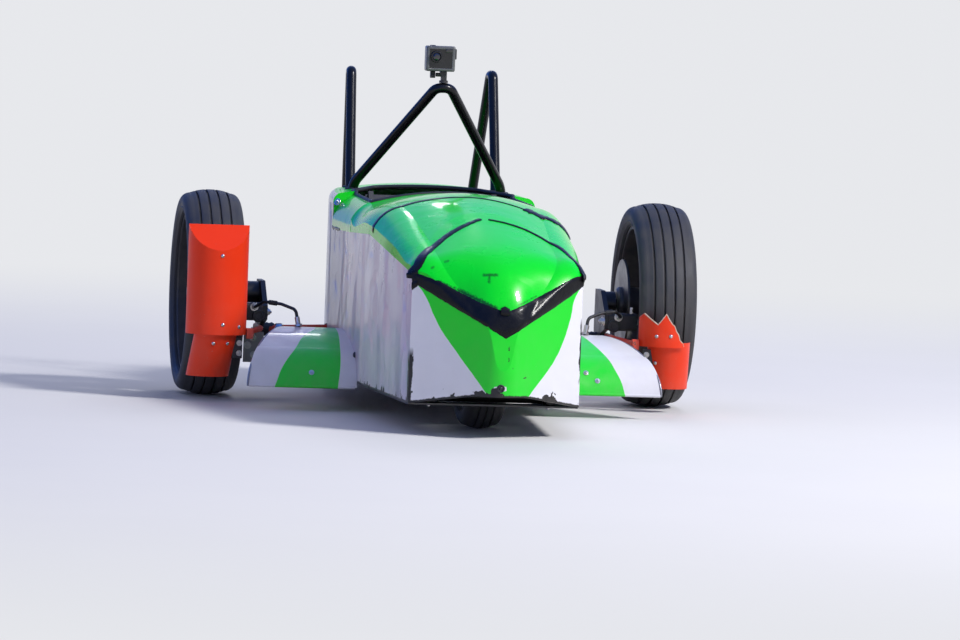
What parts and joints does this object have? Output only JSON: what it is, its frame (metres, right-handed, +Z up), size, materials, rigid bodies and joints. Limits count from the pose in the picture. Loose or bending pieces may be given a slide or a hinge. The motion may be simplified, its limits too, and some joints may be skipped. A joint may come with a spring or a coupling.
{
  "type": "soapbox car",
  "caption": "Three-wheeled gravity racer with a boxed sheet body, domed nose, open cockpit, roll hoops, steered front wheel and wide rear wheels.",
  "frame": {"origin": "on the ground under the middle of the bounding box", "axes": "the car faces -Y, +Z is up, its left side is +X"},
  "size_m": [1.2781, 1.9067, 0.8928],
  "materials": {
    "green_paint": "gloss",
    "white_paint": "gloss",
    "orange_paint": "satin",
    "black_tube": "gloss",
    "tyre_rubber": "matt",
    "rim_paint": "satin",
    "disc_steel": "brushed",
    "upright_metal": "satin",
    "caliper_paint": "satin",
    "hose_rubber": "satin",
    "floor_metal": "matt",
    "seat_shell": "matt",
    "camera_shell": "gloss",
    "seat_fabric": "woven"
  },
  "bodies": {
    "root": {"arm_posts_left": "black_tube", "arm_posts_right": "black_tube", "arms_left": "orange_paint", "arms_right": "orange_paint", "brake_hose_left": "hose_rubber", "brake_hose_right": "hose_rubber", "caliper_left": "caliper_paint", "caliper_right": "caliper_paint", "camera": "camera_shell", "camera_mount": "disc_steel", "cockpit_cowl_left": "green_paint", "cockpit_cowl_right": "green_paint", "floor_pan": "floor_metal", "frame_cross_tubes": "black_tube", "frame_rail_left": "black_tube", "frame_rail_right": "black_tube", "guard_bracket_left": "orange_paint", "guard_bracket_right": "orange_paint", "head_legs": "black_tube", "head_tube": "black_tube", "hood_front": "green_paint", "hood_rear": "green_paint", "hoop_struts_left": "black_tube", "hoop_struts_right": "black_tube", "main_hoop": "black_tube", "mudguard_lower_left": "orange_paint", "mudguard_lower_right": "orange_paint", "mudguard_upper_left": "orange_paint", "mudguard_upper_right": "orange_paint", "nose_dome": "green_paint", "nose_front": "green_paint", "pedals": "disc_steel", "seat": "seat_shell", "seat_pad": "seat_fabric", "side_hoop_left": "black_tube", "side_hoop_right": "black_tube", "side_panel_left": "white_paint", "side_panel_right": "white_paint", "steering_post": "black_tube", "tail_deck": "green_paint", "tail_panel": "white_paint", "tail_side_left": "white_paint", "tail_side_right": "white_paint", "upright_left": "upright_metal", "upright_right": "upright_metal", "wing_left": "white_paint", "wing_right": "white_paint"},
    "wheel_rear_left": {"tyre_rear_left": "tyre_rubber", "rim_rear_left": "rim_paint", "brake_disc_left": "disc_steel"},
    "wheel_rear_right": {"tyre_rear_right": "tyre_rubber", "rim_rear_right": "rim_paint", "brake_disc_right": "disc_steel"},
    "fork": {"fork": "black_tube"},
    "wheel_front": {"tyre_front": "tyre_rubber", "rim_front": "rim_paint"},
    "handlebar": {"handlebar": "black_tube"},
    "drag_rod": {"drag_rod": "disc_steel"}
  },
  "joints": [
    {"name": "wheel_rear_left_spin", "type": "hinge", "parent": "root", "child": "wheel_rear_left", "pos_m": [0.565, 0.325, 0.256], "axis": [1, 0, 0], "continuous": true},
    {"name": "wheel_rear_right_spin", "type": "hinge", "parent": "root", "child": "wheel_rear_right", "pos_m": [-0.565, 0.325, 0.256], "axis": [1, 0, 0], "continuous": true},
    {"name": "fork_steer", "type": "hinge", "parent": "root", "child": "fork", "pos_m": [0, -0.575, 0.2], "axis": [0, 0.342, 0.9397], "range_deg": [-20, 20]},
    {"name": "wheel_front_spin", "type": "hinge", "parent": "fork", "child": "wheel_front", "pos_m": [0, -0.575, 0.2], "axis": [1, 0, 0], "continuous": true},
    {"name": "handlebar_turn", "type": "hinge", "parent": "root", "child": "handlebar", "pos_m": [0, 0.149, 0.396], "axis": [0, 0.342, 0.9397], "range_deg": [-20, 20]},
    {"name": "drag_rod_swing", "type": "hinge", "parent": "fork", "child": "drag_rod", "pos_m": [0.112, -0.49894, 0.40899], "axis": [0, 0.342, 0.9397], "range_deg": [-20, 20]}
  ],
  "couplings": [
    {"joint": "handlebar_turn", "follows": "fork_steer", "ratio": 1},
    {"joint": "drag_rod_swing", "follows": "fork_steer", "ratio": -1}
  ]
}
